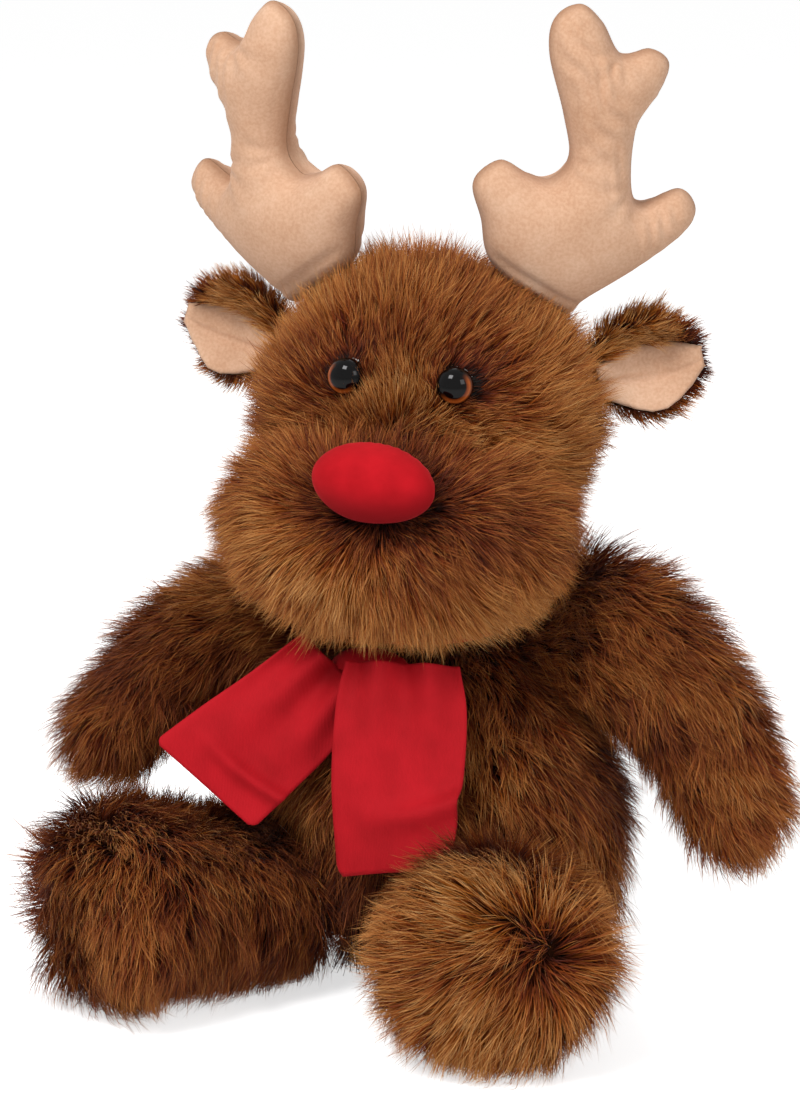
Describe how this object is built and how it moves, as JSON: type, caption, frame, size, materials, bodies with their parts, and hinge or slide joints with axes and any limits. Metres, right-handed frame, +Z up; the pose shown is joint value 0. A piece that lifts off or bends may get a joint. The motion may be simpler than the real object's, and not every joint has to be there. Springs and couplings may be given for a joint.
{
  "type": "plush deer",
  "caption": "Sitting soft toy deer with long pile fur, suede antlers, a velour nose and a felt scarf; turning head, arms and legs.",
  "frame": {"origin": "on the floor, under the middle of the body the toy sits on", "axes": "+Z up, the toy faces -Y, its left side is +X"},
  "size_m": [0.2758, 0.2191, 0.3657],
  "materials": {
    "fur": "soft",
    "suede": "soft",
    "red_velour": "soft",
    "red_felt": "soft",
    "fill": "soft",
    "pellets": "soft",
    "eye_plastic": "gloss",
    "washer_plastic": "satin"
  },
  "bodies": {
    "body": {"body_cover": "fur", "body_stuffing": "fill", "pellet_bag": "pellets", "tail_cover": "fur", "tail_stuffing": "fill", "scarf_band": "red_felt", "scarf_knot": "red_felt"},
    "head": {"head_cover": "fur", "head_stuffing": "fill", "muzzle_cover": "fur", "muzzle_stuffing": "fill", "nose_cover": "red_velour", "nose_stuffing": "fill", "left_eye": "eye_plastic", "left_eye_washer": "washer_plastic", "right_eye": "eye_plastic", "right_eye_washer": "washer_plastic"},
    "left_ear": {"left_ear_back": "fur", "left_ear_lining": "suede"},
    "left_antler": {"left_antler_front": "suede", "left_antler_back": "suede", "left_antler_stuffing": "fill"},
    "left_arm": {"left_arm_cover": "fur", "left_arm_stuffing": "fill"},
    "left_leg": {"left_leg_cover": "fur", "left_leg_stuffing": "fill", "left_sole_panel": "fur"},
    "scarf_left_end": {"scarf_left_end": "red_felt"},
    "right_ear": {"right_ear_back": "fur", "right_ear_lining": "suede"},
    "right_antler": {"right_antler_front": "suede", "right_antler_back": "suede", "right_antler_stuffing": "fill"},
    "right_arm": {"right_arm_cover": "fur", "right_arm_stuffing": "fill"},
    "right_leg": {"right_leg_cover": "fur", "right_leg_stuffing": "fill", "right_sole_panel": "fur"},
    "scarf_right_end": {"scarf_right_end": "red_felt"}
  },
  "joints": [
    {"name": "neck_turn", "type": "hinge", "parent": "body", "child": "head", "pos_m": [-0.004, -0.004, 0.158], "axis": [0, 0, 1], "range_deg": [-20, 2]},
    {"name": "left_ear_flex", "type": "hinge", "parent": "head", "child": "left_ear", "pos_m": [0.05545, 0.01571, 0.22636], "axis": [-0.1979, -0.1016, 0.9749], "range_deg": [-8, 8], "stiffness_Nm_per_rad": 0.02},
    {"name": "left_antler_flex", "type": "hinge", "parent": "head", "child": "left_antler", "pos_m": [0.03471, 0.00352, 0.26002], "axis": [0.6832, 0.5144, -0.5182], "range_deg": [-8, 8], "stiffness_Nm_per_rad": 0.5},
    {"name": "left_shoulder", "type": "hinge", "parent": "body", "child": "left_arm", "pos_m": [0.04988, -0.004, 0.122], "axis": [0.866, 0, 0.5], "range_deg": [-30, 30]},
    {"name": "left_hip", "type": "hinge", "parent": "body", "child": "left_leg", "pos_m": [0.046, -0.044, 0], "axis": [0, 0, 1], "range_deg": [-1, 10]},
    {"name": "scarf_left_end_lift", "type": "hinge", "parent": "body", "child": "scarf_left_end", "pos_m": [0.01092, -0.06503, 0.1265], "axis": [-0.9758, -0.2187, 0], "range_deg": [0, 25]},
    {"name": "right_ear_flex", "type": "hinge", "parent": "head", "child": "right_ear", "pos_m": [-0.06042, -0.00682, 0.23151], "axis": [-0.3041, 0.004, -0.9526], "range_deg": [-8, 8], "stiffness_Nm_per_rad": 0.02},
    {"name": "right_antler_flex", "type": "hinge", "parent": "head", "child": "right_antler", "pos_m": [-0.03989, -0.01098, 0.25918], "axis": [-0.7872, 0.3563, -0.5033], "range_deg": [-8, 8], "stiffness_Nm_per_rad": 0.5},
    {"name": "right_shoulder", "type": "hinge", "parent": "body", "child": "right_arm", "pos_m": [-0.04988, -0.004, 0.122], "axis": [-0.866, 0, 0.5], "range_deg": [-60, 20]},
    {"name": "right_hip", "type": "hinge", "parent": "body", "child": "right_leg", "pos_m": [-0.051, -0.05, 0], "axis": [0, 0, 1], "range_deg": [-2, 8]},
    {"name": "scarf_right_end_lift", "type": "hinge", "parent": "body", "child": "scarf_right_end", "pos_m": [-0.0117, -0.06423, 0.12416], "axis": [-0.6963, -0.1741, 0.6963], "range_deg": [0, 25]}
  ]
}
